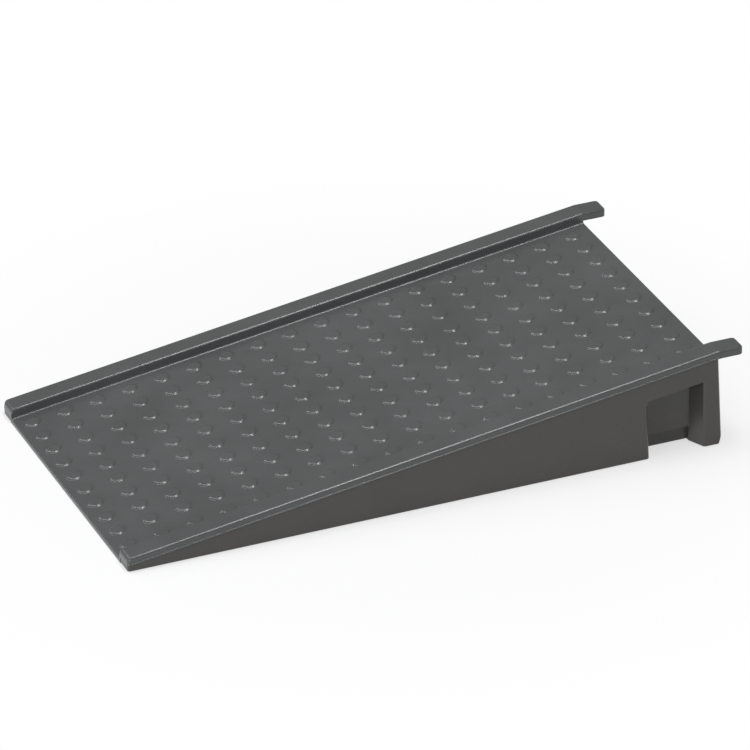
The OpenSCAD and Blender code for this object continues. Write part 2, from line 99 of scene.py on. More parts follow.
class RampSizes(bpy.types.PropertyGroup):
    """Sizes of the cover moulding, which is drawn afresh here."""

    overall_l: length("Length", COVER_HI.x - COVER_LO.x, "Toe to the tips of the level ends")
    overall_w: length("Width", COVER_HI.y - COVER_LO.y, "Over the beads of the two skirts")
    overall_h: length("Height", COVER_HI.z - COVER_LO.z, "Floor to the level ends' tops")
    end_l: length("Level end", 45 * MM, "Length of the level ends beyond the tread")
    end_r: length("Level end corners", 9 * MM, "Rounding of the tips, seen from above")
    toe_h: length("Toe height", 7 * MM, "Height of the tread at the toe")
    toe_edge_r: length("Toe edge", 2.5 * MM, "Rounding of the toe's top edge")
    high_edge_r: length("High edge", 1.2 * MM, "Rounding of the tread's high edge")
    plate_t: length("Tread plate", 5 * MM, "Thickness of the tread plate")
    nose_l: length("Nose", 40 * MM, "Length of the solid nose behind the toe")
    curb_w: length("Curb width", 42.5 * MM, "Width of each curb over its bead")
    curb_h: length("Curb height", 18.5 * MM, "Height of the curbs above the tread")
    curb_t: length("Curb wall", 4 * MM, "Thickness of a curb's top and inner wall")
    curb_edge_r: length("Curb edges", 4 * MM, "Rounding of the curbs' top edges")
    curb_foot_r: length("Curb fillet", 3 * MM, "Fillet between a curb and the tread")
    curb_toe_r: length("Curb toe, side view", 10 * MM, "Rounding of the curbs' toe ends from the side")
    curb_corner_r: length("Curb toe, plan", 7 * MM, "Rounding of the curbs' toe ends from above")
    skirt_h: length("Skirt height", 14.5 * MM, "From a curb's top down to the joint")
    skirt_t: length("Skirt", 3.2 * MM, "Thickness of the skirt")
    bead_r: length("Bead radius", 1.7 * MM, "Radius of the bead at the skirt's lower edge")
    bead_out: length("Bead", 1.5 * MM, "How far the bead stands out")
    root_l: length("Solid root", 12 * MM, "Solid stretch of curb before a level end")
    stud_d: length("Stud diameter", 30 * MM, "Diameter of a stud at its foot")
    stud_top_d: length("Stud top", 19 * MM, "Diameter of a stud's flat top")
    stud_h: length("Stud height", 2.6 * MM, "Height of a stud")
    stud_fillet: length("Stud fillet", 0.9 * MM, "Fillet round a stud's foot")
    stud_first: length("First stud", 28 * MM, "From the toe to the first column, along the slope")
    stud_pitch_x: length("Stud pitch, along", 61.6 * MM, "Between studs along the slope")
    stud_pitch_y: length("Stud pitch, across", 52.3 * MM, "Between studs across the ramp")
    stud_cols: IntProperty(name="Stud columns", default=18, min=1, description="Studs along the slope")
    stud_rows: IntProperty(name="Stud rows", default=10, min=1, description="Studs across the ramp")
    tool_edge: length("Moulded edges", 2.0 * MM, "Small radius that the tool leaves on every edge")
    boss_d: length("Screw bosses", 12 * MM, "Diameter of the cover's screw bosses")
    end_boss_h: length("End bosses", 10 * MM, "Height of the bosses below the tread at the end wall")
    screw_first: length("First screw", 151.07 * MM, "From the toe to the first pair of screws")
    screw_pitch: length("Screw pitch", 209.54 * MM, "Between the screws along the curbs")
    screw_high: length("Last screws", 15.8 * MM, "From the high edge back to the last screws")
    screw_across: length("Screw pitch, across", 120.8 * MM, "Between the screws at the end wall")


class RampColours(bpy.types.PropertyGroup):
    """Colours of the pieces, as sRGB hex values."""

    cover: colour("Cover", "555757", "Dark grey polyethylene of the cover")
    # Painted shade: the frame is the same polyethylene as the cover, and this darker tone paints in the
    # shade on its upright side walls
    frame: colour("Frame", "494644", "Dark grey polyethylene of the frame")
    web: colour("Webs", "2B2B2C", "Black polyethylene sheet")
    rubber: colour("Feet", "1B1B1C", "Black rubber")
    steel: colour("Screws", "B9BBBE", "Zinc plated steel")
    floor: colour("Floor", "F2F2F2", "Painted studio floor")
    bounce: colour("Bounce", "B0B0B0", "What the floor throws back on the ramp")


class StudioSettings(bpy.types.PropertyGroup):
    """Strengths of the lamps, and the roughness of the mouldings."""

    sky: strength("Sky", 0.16, "Strength of the white surroundings")
    overhead: strength("Overhead", 322.0, "Overhead strip, far side", "POWER")
    near: strength("Near", 362.0, "Overhead strip, near side", "POWER")
    side: strength("Side", 150.0, "Low lamp beyond the toe", "POWER")
    gloss: FloatProperty(
        name="Roughness", default=0.25, min=0.0, max=1.0, description="Roughness of the mouldings"
    )


def linear(hex_value):
    """sRGB hex to linear red, green, blue and alpha: straight near black, a power of 2.4 above it."""
    c = np.array([int(hex_value[k:k + 2], 16) for k in (0, 2, 4)]) / 255
    return (*np.where(c <= 0.04045, c / 12.92, ((c + 0.055) / 1.055) ** 2.4), 1.0)


def add_node(tree, kind, inputs=None, **settings):
    """Adds a shader node with its settings, then fills its inputs with values or links them to sockets."""
    node = tree.nodes.new(kind)
    for key, value in settings.items():
        setattr(node, key, value)
    for key, value in (inputs or {}).items():
        if isinstance(value, bpy.types.NodeSocket):
            tree.links.new(value, node.inputs[key])
        else:
            node.inputs[key].default_value = value
    return node


def new_material(name):
    """An empty node material, its tree, and the object coordinates that its patterns read."""
    material = bpy.data.materials.new(name)
    material.use_nodes = True
    tree = material.node_tree
    tree.nodes.clear()
    place = add_node(tree, "ShaderNodeTexCoord").outputs["Object"]
    return material, tree, place


def finish_material(tree, shader):
    """Ends a material with its shader on the surface output."""
    add_node(tree, "ShaderNodeOutputMaterial", {"Surface": shader.outputs[0]})


def colour_ramp(tree, value, stops):
    """A colour ramp over a value: stops are (position, linear colour)."""
    node = add_node(tree, "ShaderNodeValToRGB", {"Fac": value})
    points = node.color_ramp.elements
    points[0].position, points[0].color = stops[0]
    points[1].position, points[1].color = stops[-1]
    for position, shade in stops[1:-1]:
        points.new(position).color = shade
    return node.outputs["Color"]


def tint(base, share):
    """A colour with its three channels scaled by one share."""
    return (*[c * share for c in base[:3]], 1.0)


def moulded_polyethylene(name, hex_value, roughness, edge):
    """High-density polyethylene, injection moulded against a blasted tool.

    The blasting leaves a fine even grain, so highlights are soft and broad. The melt's flow leaves faint
    cloudy patches a hand wide, and grit caught in regrind shows as sparse paler specks. The grain is drawn
    at 1.6 mm, a few times its real size, so that it shows at the render's scale.
    """
    material, tree, place = new_material(name)
    base = linear(hex_value)
    darker, lighter, speck = tint(base, 0.90), tint(base, 1.09), tint(base, 1.5)
    clouds_per_m = 7.0
    grain_size = 1.6 * MM
    grain_depth = 0.25 * MM
    uneven = 0.05
    pattern = {"Vector": place, "Scale": clouds_per_m, "Detail": 3.0, "Roughness": 0.55}
    clouds = add_node(tree, "ShaderNodeTexNoise", pattern).outputs["Fac"]
    body = colour_ramp(tree, clouds, [(0.30, darker), (0.52, base), (0.74, lighter)])
    pattern = {"Vector": place, "Scale": 1 / grain_size, "Detail": 2.0, "Roughness": 0.6}
    grain = add_node(tree, "ShaderNodeTexNoise", pattern).outputs["Fac"]
    specks = colour_ramp(tree, grain, [(0.66, BLACK), (0.74, WHITE)])
    speckled = add_node(tree, "ShaderNodeMix", {"Factor": specks, "A": body, "B": speck}, data_type="RGBA")
    limits = {"From Min": 0.3, "From Max": 0.7, "To Min": roughness - uneven, "To Max": roughness + uneven}
    rough = add_node(tree, "ShaderNodeMapRange", {"Value": clouds, **limits}).outputs["Result"]
    rounded = add_node(tree, "ShaderNodeBevel", {"Radius": edge}, samples=6).outputs["Normal"]
    relief = {"Height": grain, "Strength": 0.1, "Distance": grain_depth, "Normal": rounded}
    bump = add_node(tree, "ShaderNodeBump", relief).outputs["Normal"]
    surface = {"Base Color": speckled.outputs["Result"], "Roughness": rough, "Normal": bump, "IOR": 1.54}
    shader = add_node(tree, "ShaderNodeBsdfPrincipled", surface)
    finish_material(tree, shader)
    return material


def sawn_sheet(name, hex_value):
    """Black polyethylene sheet, extruded and then sawn: long streaks from the die, and a waxy sheen."""
    material, tree, place = new_material(name)
    base = linear(hex_value)
    streaks_per_m = (4.0, 4.0, 220.0)
    drawn = add_node(tree, "ShaderNodeMapping", {"Vector": place, "Scale": streaks_per_m}).outputs["Vector"]
    pattern = {"Vector": drawn, "Scale": 1.0, "Detail": 3.0, "Roughness": 0.5}
    streaks = add_node(tree, "ShaderNodeTexNoise", pattern).outputs["Fac"]
    body = colour_ramp(tree, streaks, [(0.25, tint(base, 0.8)), (0.75, tint(base, 1.3))])
    bump = add_node(
        tree, "ShaderNodeBump", {"Height": streaks, "Strength": 0.1, "Distance": 0.3 * MM}
    ).outputs["Normal"]
    surface = {"Base Color": body, "Roughness": 0.5, "Normal": bump, "IOR": 1.5}
    shader = add_node(tree, "ShaderNodeBsdfPrincipled", surface)
    finish_material(tree, shader)
    return material


def moulded_rubber(name, hex_value):
    """Nitrile rubber, compression moulded: a dull black with a greyish dusty bloom in soft patches."""
    material, tree, place = new_material(name)
    base = linear(hex_value)
    patches_per_m = 90.0
    pattern = {"Vector": place, "Scale": patches_per_m, "Detail": 4.0, "Roughness": 0.6}
    bloom = add_node(tree, "ShaderNodeTexNoise", pattern).outputs["Fac"]
    body = colour_ramp(tree, bloom, [(0.35, base), (0.72, tint(base, 2.2))])
    bump = add_node(
        tree, "ShaderNodeBump", {"Height": bloom, "Strength": 0.12, "Distance": 0.3 * MM}
    ).outputs["Normal"]
    surface = {"Base Color": body, "Roughness": 0.75, "Normal": bump, "IOR": 1.52}
    shader = add_node(tree, "ShaderNodeBsdfPrincipled", surface)
    finish_material(tree, shader)
    return material


def plated_steel(name, hex_value):
    """Carbon steel, barrel plated with zinc and passivated: bright with a faint blue and straw mottle."""
    material, tree, place = new_material(name)
    base = linear(hex_value)
    patches_per_m = 420.0
    pattern = {"Vector": place, "Scale": patches_per_m, "Detail": 3.0, "Roughness": 0.5}
    mottle = add_node(tree, "ShaderNodeTexNoise", pattern).outputs["Fac"]
    straw = (base[0] * 1.05, base[1] * 0.98, base[2] * 0.82, 1.0)
    blue = (base[0] * 0.84, base[1] * 0.95, base[2] * 1.04, 1.0)
    body = colour_ramp(tree, mottle, [(0.35, straw), (0.5, base), (0.65, blue)])
    rough = add_node(
        tree, "ShaderNodeMapRange", {"Value": mottle, "To Min": 0.24, "To Max": 0.42}
    ).outputs["Result"]
    surface = {"Base Color": body, "Metallic": 1.0, "Roughness": rough}
    shader = add_node(tree, "ShaderNodeBsdfPrincipled", surface)
    finish_material(tree, shader)
    return material


def painted_floor(name, hex_value, bounce):
    """Matt white emulsion over a roller's faint texture.

    What the camera, mirrors and glass see is mostly plain white round the ramp, and wholly so further off.
    The ramp itself is lit by the greyer paint that the bounce colour gives.
    """
    material, tree, place = new_material(name)
    patches_per_m = 60.0
    near_end, far_end = 0.6, 1.0  # metres from the ramp's middle
    white_near, white_far = 0.6, 1.0  # share of plain white there
    texture = add_node(
        tree, "ShaderNodeTexNoise", {"Vector": place, "Scale": patches_per_m, "Detail": 3.0}
    ).outputs["Fac"]
    bump = add_node(
        tree, "ShaderNodeBump", {"Height": texture, "Strength": 0.03, "Distance": MM}
    ).outputs["Normal"]
    paint = add_node(tree, "ShaderNodeBsdfDiffuse", {"Color": linear(hex_value), "Normal": bump})
    away = add_node(tree, "ShaderNodeVectorMath", {0: place}, operation="LENGTH").outputs["Value"]
    reach = {"From Min": near_end, "From Max": far_end, "To Min": white_near, "To Max": white_far}
    share = add_node(tree, "ShaderNodeMapRange", {"Value": away, **reach}).outputs["Result"]
    white = add_node(tree, "ShaderNodeEmission", {"Color": WHITE, "Strength": 1.0})
    lifted = add_node(tree, "ShaderNodeMixShader", {0: share, 1: paint.outputs[0], 2: white.outputs[0]})
    dull = add_node(tree, "ShaderNodeBsdfDiffuse", {"Color": linear(bounce), "Normal": bump})
    path = add_node(tree, "ShaderNodeLightPath").outputs
    seen = path["Is Camera Ray"]
    for other in ("Is Glossy Ray", "Is Transmission Ray"):
        seen = add_node(tree, "ShaderNodeMath", {0: seen, 1: path[other]}, operation="MAXIMUM").outputs[0]
    finish_material(
        tree, add_node(tree, "ShaderNodeMixShader", {0: seen, 1: dull.outputs[0], 2: lifted.outputs[0]})
    )
    return material


def arc(centre_y, centre_w, radius, start, end, count):
    """Points of a circle arc between two angles in degrees: centre plus radius times cosine and sine."""
    a = np.radians(np.linspace(start, end, count))
    cy, cw, r = (np.asarray(q, float)[..., None] for q in (centre_y, centre_w, radius))
    return cy + r * np.cos(a), cw + r * np.sin(a)


def round_drop(distance, radius):
    """How far a rounded corner has dropped at a distance from its edge: radius less the arc's height."""
    t = np.clip(radius - distance, 0, radius)
    return radius - np.sqrt(radius ** 2 - t ** 2)


class Wedge:
    """The ramp's own lines, from its sizes: x from the toe, u along the slope, w square to it."""

    def __init__(self, s):
        self.s = s
        self.run = s.overall_l - s.end_l
        self.deck_h = s.overall_h - s.curb_h
        self.angle = math.atan((self.deck_h - s.toe_h) / self.run)
        self.sin, self.cos = math.sin(self.angle), math.cos(self.angle)
        self.slope_l = self.run / self.cos
        self.in_y = s.overall_w / 2 - s.curb_w
        self.plate_y = self.in_y + s.curb_t
        self.edge_y = self.in_y - s.curb_foot_r
        self.skirt_y = s.overall_w / 2 - s.bead_out
        self.hollow_y = self.skirt_y - s.skirt_t
        self.joint = s.curb_h - s.skirt_h
        self.roof = s.curb_h - s.curb_t
        self.toe_reach = s.toe_edge_r / math.tan((math.pi / 2 + self.angle) / 2)
        self.flat_end = self.slope_l - s.high_edge_r

    def upright(self, x, y, w):
        """Points on planes across the ramp, at a height over the tread of w over the slope's cosine.

        The planes stand upright, and lean back towards the bend, where they meet the plane that halves it:
        x moves by w times a share of the tangent of half the slope's angle.
        """
        x, y, w = np.broadcast_arrays(x, y, w)
        share = np.clip((x - self.run + self.s.root_l) / self.s.root_l, 0, 1)
        x = x - share * math.tan(self.angle / 2) * np.maximum(w, 0)
        z = self.s.toe_h + x * math.tan(self.angle) + w / self.cos
        return np.stack([x - self.s.overall_l / 2, y, z], -1)

    def sloping(self, u, y, w):
        """Points at u along the slope and w square to it: a turn by the slope's angle about the toe."""
        u, y, w = np.broadcast_arrays(u, y, w)
        x = u * self.cos - w * self.sin
        return np.stack([x - self.s.overall_l / 2, y, self.s.toe_h + u * self.sin + w * self.cos], -1)

    def level(self, x, y, w):
        """Points on the level ends, at a height w over the tread's high edge."""
        x, y, w = np.broadcast_arrays(x, y, w)
        return np.stack([x - self.s.overall_l / 2, y, self.deck_h + w], -1)

    def cell_edges(self):
        """Where the studs' cells meet: halfway between studs, and the flat's own ends along the slope."""
        s = self.s
        centres = s.stud_first + np.arange(s.stud_cols) * s.stud_pitch_x
        along = np.concatenate([[self.toe_reach], (centres[1:] + centres[:-1]) / 2, [self.flat_end]])
        half = s.stud_rows * s.stud_pitch_y / 2
        return centres, along, np.linspace(-half, half, s.stud_rows + 1)


def subdivide(edges, steps):
    """Each gap between edges split into equal steps."""
    share = np.arange(steps) / steps
    inner = (edges[:-1, None] + np.diff(edges)[:, None] * share).ravel()
    return np.append(inner, edges[-1])


def toe_distances(radius):
    """Distances from a rounded end where its arc turns by equal angles: radius times 1 less the cosine."""
    return radius * (1 - np.cos(np.radians(np.linspace(0, 90, ROUND_STEPS + 1))))


def curb_section(g, w_tread, top, edge_r, inset, hollow, under):
    """Half of the cover's section at each station, from the tread's edge round the curb to its underside.

    In order: the fillet's arc, the inner wall, the arc of its top edge, the top, the arc of the outer edge,
    the skirt, the bead's arc, the skirt's foot, the hollow's roof and the plate's underside. Each argument
    has one value a station: the tread's and the curb's heights, the edges' radius, how far the outer side
    moves in, whether the curb is hollow, and the height of the underside. Rows are stations.
    """
    s = g.s
    outer = g.skirt_y - inset
    one = np.ones_like(top)
    lift = math.degrees(math.acos((s.bead_r - s.bead_out) / s.bead_r))
    fillet_y, fillet_w = arc(
        g.edge_y * one, w_tread + s.curb_foot_r, s.curb_foot_r * one, -90, 0, FILLET_POINTS
    )
    inner_y, inner_w = arc(g.in_y + edge_r, top - edge_r, edge_r, 180, 90, EDGE_POINTS)
    outer_y, outer_w = arc(outer - edge_r, top - edge_r, edge_r, 90, 0, EDGE_POINTS)
    bead_y, bead_w = arc(
        outer + s.bead_out - s.bead_r, (g.joint + s.bead_r) * one, s.bead_r * one, lift, -90, BEAD_POINTS
    )
    roof = np.where(hollow, g.roof, g.joint)
    tail_y = np.stack([outer - s.skirt_t, outer - s.skirt_t, g.plate_y * one, g.plate_y * one], -1)
    tail_w = np.stack([g.joint * one, roof, roof, under], -1)
    y = np.concatenate([fillet_y, g.in_y * one[:, None], inner_y, outer_y, bead_y, tail_y], 1)
    w = np.concatenate([fillet_w, g.joint * one[:, None], inner_w, outer_w, bead_w, tail_w], 1)
    return y, w


class MeshParts:
    """Vertices and faces gathered from grids and outlines, before they are welded into one mesh."""

    def __init__(self):
        self.points, self.faces, self.count = [], [], 0

    def add(self, points):
        """Adds points and returns their numbers in the same layout."""
        flat = points.reshape(-1, 3)
        numbers = self.count + np.arange(len(flat)).reshape(points.shape[:-1])
        self.points.append(flat)
        self.count += len(flat)
        return numbers

    def grid(self, numbers, turned=False):
        """Quads between neighbouring rows and columns of a grid of vertex numbers."""
        a, b, c, d = numbers[:-1, :-1], numbers[1:, :-1], numbers[1:, 1:], numbers[:-1, 1:]
        quads = np.stack([a, d, c, b] if turned else [a, b, c, d], -1).reshape(-1, 4)
        self.faces.extend(quads.tolist())

    def outline(self, numbers, turned=False):
        """One flat face round an outline of vertex numbers."""
        loop = list(map(int, numbers))
        self.faces.append(loop[::-1] if turned else loop)

    def mesh(self, name):
        """Welds what meets, drops faces without area, and turns the faces outwards."""
        mesh = bpy.data.meshes.new(name)
        mesh.from_pydata(np.concatenate(self.points), [], self.faces)
        work = bmesh.new()
        work.from_mesh(mesh)
        bmesh.ops.remove_doubles(work, verts=work.verts, dist=WELD)
        bmesh.ops.dissolve_degenerate(work, edges=work.edges, dist=WELD)
        bmesh.ops.recalc_face_normals(work, faces=work.faces)
        work.to_mesh(mesh)
        work.free()
        return mesh


def stations(g):
    """The curbs' stations from toe to bend, in rows of x, hollow curb or not, solid nose or not."""
    s = g.s
    _, along, _ = g.cell_edges()
    seams = subdivide(along, CELL_STEPS) * g.cos
    toe = np.concatenate([toe_distances(r) for r in (s.toe_edge_r, s.curb_corner_r, s.curb_toe_r)])
    ends = g.run - toe_distances(s.high_edge_r)[1:]
    x = np.concatenate([seams, toe, ends])
    first, nose, last = s.curb_t, s.nose_l, g.run - s.root_l
    x = np.unique(np.round(np.concatenate([x[x < g.run - WELD / 2], [first, nose, last]]), 8))
    x = x[np.concatenate([[True], np.diff(x) > APART])]
    rows = []
    for here in x:
        hollow = first < here < last
        solid_nose = here < nose
        if here in (first, last):
            rows += [(here, here != first, solid_nose), (here, here == first, solid_nose)]
        elif here == nose:
            rows += [(here, hollow, True), (here, hollow, False)]
        else:
            rows.append((here, hollow, solid_nose))
    return np.array(rows, float)


def cover_lines(g):
    """The cover's half section at every station, and on the plane of the bend as its last row."""
    s = g.s
    rows = stations(g)
    x = np.append(rows[:, 0], g.run)
    hollow = np.append(rows[:, 1], 0) > 0.5
    solid_nose = np.append(rows[:, 2], 0) > 0.5
    w_tread = tread_drop(g, x)
    toe_arc = toe_limit(g, x, s.curb_toe_r)
    top = s.curb_h + toe_arc
    edge_r = np.minimum(s.curb_edge_r, top - g.joint - 2 * s.bead_r)
    inset = round_drop(x, s.curb_corner_r)
    height = s.toe_h + x * math.tan(g.angle)
    under = np.where(solid_nose, -height * g.cos, -s.plate_t)
    y, w = curb_section(g, w_tread, top, edge_r, inset, hollow, under)
    return x, y, w, g.upright(x[:, None], y, w)


def toe_limit(g, x, radius):
    """How far the arc that rounds the corner of the toe's upright end lies below the slope."""
    reach = radius / math.tan((math.pi / 2 + g.angle) / 2)
    inside = np.clip(radius ** 2 - (x - radius) ** 2, 0, None)
    drop = -reach + np.sqrt(inside) - x * math.tan(g.angle)
    return np.where(x < reach * g.cos, drop * g.cos, 0.0)


def tread_drop(g, x):
    """Height of the tread over its own plane: below it on the rounded toe and on the rounded high edge."""
    return toe_limit(g, x, g.s.toe_edge_r) - round_drop(g.run - x, g.s.high_edge_r)


def mirrored(points):
    """The same points on the other side of the ramp."""
    return points * np.array([1, -1, 1])


def draw_curbs(g, parts):
    """The curbs with the underside between them, and the level ends: sections carried along the slope."""
    x, y, w, points = cover_lines(g)
    left = parts.add(points)
    right = parts.add(mirrored(points))
    parts.grid(left)
    parts.grid(right, turned=True)
    parts.grid(np.stack([left[:, -1], right[:, -1]], 1))
    across = tread_columns(g)
    toe = parts.add(g.upright(x[0], across, tread_drop(g, x[:1])))
    parts.outline(np.concatenate([left[0][::-1], toe[::-1], right[0]]))
    high = parts.add(g.upright(g.run, across, tread_drop(g, x[-1:])))
    keep = [*range(JOINT_POINT + 1), ROOF_POINT, points.shape[1] - 1]
    parts.outline(np.concatenate([left[-1][keep][::-1], high[::-1], right[-1][keep]]), turned=True)
    draw_level_end(g, parts, y[-1], w[-1], 1)
    draw_level_end(g, parts, y[-1], w[-1], -1)


def draw_level_end(g, parts, y, w, side):
    """A level end: the curb's solid section carried on level, closing over rounded corners at its tip."""
    s = g.s
    keep = slice(JOINT_POINT, ROOF_POINT + 1)
    base_y, base_w = y[keep], w[keep]
    bar_y = np.minimum(base_y, g.skirt_y)
    tip = toe_distances(s.end_r)[::-1]
    straight = np.linspace(0.1, 0.7, 4) * (s.end_l - s.end_r)
    distance = np.concatenate([s.end_l - straight, tip])
    inset = round_drop(distance, s.end_r)
    down = round_drop(distance, s.curb_edge_r)
    middle = (g.in_y + g.skirt_y) / 2
    half = (g.skirt_y - g.in_y) / 2
    width = (half - inset) / half
    rise = (base_w - g.joint) / (s.curb_h - g.joint)
    rows_y = middle + (bar_y - middle)[None] * width[:, None]
    rows_w = base_w[None] - rise[None] * down[:, None]
    rows = g.level(g.run + s.end_l - distance[:, None], rows_y, rows_w)
    start = g.upright(g.run, np.stack([base_y, bar_y]), base_w)
    bar = np.concatenate([start, rows])
    bar = bar if side > 0 else mirrored(bar)
    numbers = parts.add(bar)
    closed = np.concatenate([numbers, numbers[:, :1]], 1)
    parts.grid(numbers, turned=side < 0)
    parts.grid(closed[1:, -2:], turned=side < 0)
    parts.outline(numbers[-1], turned=side < 0)


def tread_columns(g):
    """The y stations across the tread: the cells' own steps, between the feet of the two curbs' fillets."""
    _, _, across = g.cell_edges()
    return np.concatenate([[-g.edge_y], subdivide(across, CELL_STEPS), [g.edge_y]])


def stud_profile(s):
    """A stud's section as radii and heights: a shoulder arc from its flat top, then a fillet."""
    top_r, foot_r = s.stud_top_d / 2, s.stud_d / 2
    rim = foot_r - top_r
    shoulder = (rim ** 2 + s.stud_h ** 2) / (2 * s.stud_h)
    steep = math.asin(rim / shoulder)
    reach = s.stud_fillet * math.tan(steep / 2)
    end = steep - reach / shoulder
    a = np.linspace(0, end, SHOULDER_POINTS)
    r, w = top_r + shoulder * np.sin(a), s.stud_h - shoulder * (1 - np.cos(a))
    b = np.linspace(steep, 0, FOOT_POINTS)[1:]
    fillet_r = foot_r + reach - s.stud_fillet * np.sin(b)
    fillet_w = s.stud_fillet * (1 - np.cos(b))
    return np.concatenate([r, fillet_r]), np.concatenate([w, fillet_w])


def draw_tread(g, parts):
    """The tread: one cell a stud, whose rings run from the stud's top to the cell's four sides.

    A ring is a circle round the stud's centre; the last ring is the cell's outline, so cells share their
    sides. Strips round the toe and the high edge, and a margin along each curb fills in to the fillets.
    """
    s = g.s
    centres, along, across = g.cell_edges()
    r, w = stud_profile(s)
    first_corner = 225
    turn = np.radians(first_corner + np.arange(4 * CELL_STEPS) * 360 / (4 * CELL_STEPS))
    step = np.arange(CELL_STEPS) / CELL_STEPS
    u_share = np.concatenate([step, np.ones(CELL_STEPS), 1 - step, np.zeros(CELL_STEPS)])
    v_share = np.concatenate([np.zeros(CELL_STEPS), step, np.ones(CELL_STEPS), 1 - step])
    rows = (np.arange(s.stud_rows) - (s.stud_rows - 1) / 2) * s.stud_pitch_y
    for i, u in enumerate(centres):
        for j, v in enumerate(rows):
            ring_u = u + r[:, None] * np.cos(turn)
            ring_v = v + r[:, None] * np.sin(turn)
            side_u = along[i] + (along[i + 1] - along[i]) * u_share
            side_v = across[j] + (across[j + 1] - across[j]) * v_share
            points = np.concatenate([
                g.sloping(ring_u, ring_v, np.broadcast_to(w[:, None], ring_u.shape)),
                g.sloping(side_u, side_v, 0.0 * side_u)[None],
            ])
            rings = parts.add(points)
            parts.grid(np.concatenate([rings, rings[:, :1]], 1), turned=True)
            parts.outline(rings[0])
    x_all = np.append(np.unique(stations(g)[:, 0]), g.run)
    columns = tread_columns(g)
    for low, high in ((0.0, along[0] * g.cos), (along[-1] * g.cos, g.run)):
        x = between(x_all, low, high)
        parts.grid(parts.add(g.upright(x[:, None], columns[None], tread_drop(g, x)[:, None])))
    draw_margins(g, parts, x_all, subdivide(along, CELL_STEPS) * g.cos, across[-1])


def between(x_all, low, high):
    """The stations between two borders, with those on the borders."""
    return x_all[(x_all > low - ON_BORDER) & (x_all < high + ON_BORDER)]


def draw_margins(g, parts, x_all, coarse, cell_y):
    """The flat margins between the outer cells and the curbs' fillets, one outline for each step."""
    for side in (-1, 1):
        for a, b in zip(coarse[:-1], coarse[1:]):
            inner = g.upright(np.array([b, a]), side * cell_y, 0.0)
            outer = g.upright(between(x_all, a, b), side * g.edge_y, 0.0)
            parts.outline(parts.add(np.concatenate([outer, inner])), turned=side < 0)


def boss_places(g):
    """Where the screws stand: pairs along the curbs' hollows, and three at the end wall."""
    s = g.s
    high = g.run - s.screw_high
    middle = (g.hollow_y + g.plate_y) / 2
    along = [*(s.screw_first + np.arange(SIDE_SCREWS) * s.screw_pitch), high]
    pairs = [(x, side * middle) for x in along for side in (-1, 1)]
    return pairs + [(high, k * s.screw_across) for k in END_SCREWS]


def draw_bosses(g, parts):
    """The bosses that take the screws: plain cylinders of one radius, each closed at both ends."""
    s = g.s
    turn = np.radians(np.arange(BOSS_SIDES + 1) * 360 / BOSS_SIDES)
    radius = np.array([0, 1, 1, 0])[:, None] * s.boss_d / 2
    into_plate = s.plate_t / 3
    for x, y in boss_places(g):
        under = s.toe_h + x * math.tan(g.angle) - s.plate_t / g.cos
        side = abs(y) > g.in_y
        low = under if side else under - s.end_boss_h
        high = under + (g.roof + s.plate_t) / g.cos if side else under
        high += into_plate
        height = np.array([low, low, high, high])[:, None] + 0 * turn
        centre_x = x - s.overall_l / 2
        shell = np.stack([centre_x + radius * np.cos(turn), y + radius * np.sin(turn), height], -1)
        parts.grid(parts.add(shell))


def piece(name, mesh, material, slot, *nodes):
    """An object for a finished mesh: smooth within its sharp edges, and in place of the CAD nodes named."""
    mesh.shade_smooth()
    mesh.set_sharp_from_angle(angle=SHARP_ANGLE)
    made = bpy.data.objects.new(name, mesh)
    bpy.context.scene.collection.objects.link(made)
    mesh.materials.append(material)
    steady = made.modifiers.new("flats_stay_flat", "WEIGHTED_NORMAL")
    steady.keep_sharp = True
    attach(made, BODY)
    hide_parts(*nodes)


def dress(node, material):
    """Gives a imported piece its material."""
    shown = frame["nodes"][node]
    shown.data.materials.clear()
    shown.data.materials.append(material)


class RAMP_OT_cover(bpy.types.Operator):
    """The cover moulding: a studded tread between two curbs that level out past it"""

    bl_idname = "ramp.cover"
    bl_label = "Tread cover"

    def execute(self, context):
        sizes = context.scene.ramp_sizes
        g = Wedge(sizes)
        parts = MeshParts()
        draw_curbs(g, parts)
        draw_tread(g, parts)
        draw_bosses(g, parts)
        tone = context.scene.ramp_colours.cover
        gloss = context.scene.ramp_studio.gloss
        skin = moulded_polyethylene("polyethylene_moulded_cover", tone, gloss, sizes.tool_edge)
        mesh = parts.mesh("tread_cover_moulding")
        piece("tread_cover_moulding", mesh, skin, "cover_polyethylene", "tread_cover")
        return {"FINISHED"}


class RAMP_OT_frame(bpy.types.Operator):
    """The lower moulding, with the small radii that its tool leaves on every edge"""

    bl_idname = "ramp.frame"
    bl_label = "Base frame"

    def execute(self, context):
        edge = context.scene.ramp_sizes.tool_edge
        # The frame's tone is darker than the cover's: painted shade for its upright walls, not a different
        # plastic
        tone = context.scene.ramp_colours.frame
        gloss = context.scene.ramp_studio.gloss
        dress("base_frame", moulded_polyethylene("polyethylene_moulded_frame", tone, gloss, edge))
        return {"FINISHED"}


class RAMP_OT_webs(bpy.types.Operator):
    """The crossed stiffening webs under the tread"""

    bl_idname = "ramp.webs"
    bl_label = "Webs"

    def execute(self, context):
        skin = sawn_sheet("polyethylene_sheet_sawn", context.scene.ramp_colours.web)
        for node in frame["nodes"]:
            if "_web_" in node:
                dress(node, skin)
        return {"FINISHED"}


class RAMP_OT_screws(bpy.types.Operator):
    """The screws that hold the cover on the frame"""

    bl_idname = "ramp.screws"
    bl_label = "Screws"

    def execute(self, context):
        dress("cover_screws", plated_steel("steel_zinc_plated", context.scene.ramp_colours.steel))
        return {"FINISHED"}


class RAMP_OT_feet(bpy.types.Operator):
    """The rubber feet under the frame"""

    bl_idname = "ramp.feet"
    bl_label = "Feet"

    def execute(self, context):
        skin = moulded_rubber("nitrile_rubber_moulded", context.scene.ramp_colours.rubber)
        for node in frame["nodes"]:
            if node.startswith("foot_"):
                dress(node, skin)
        return {"FINISHED"}


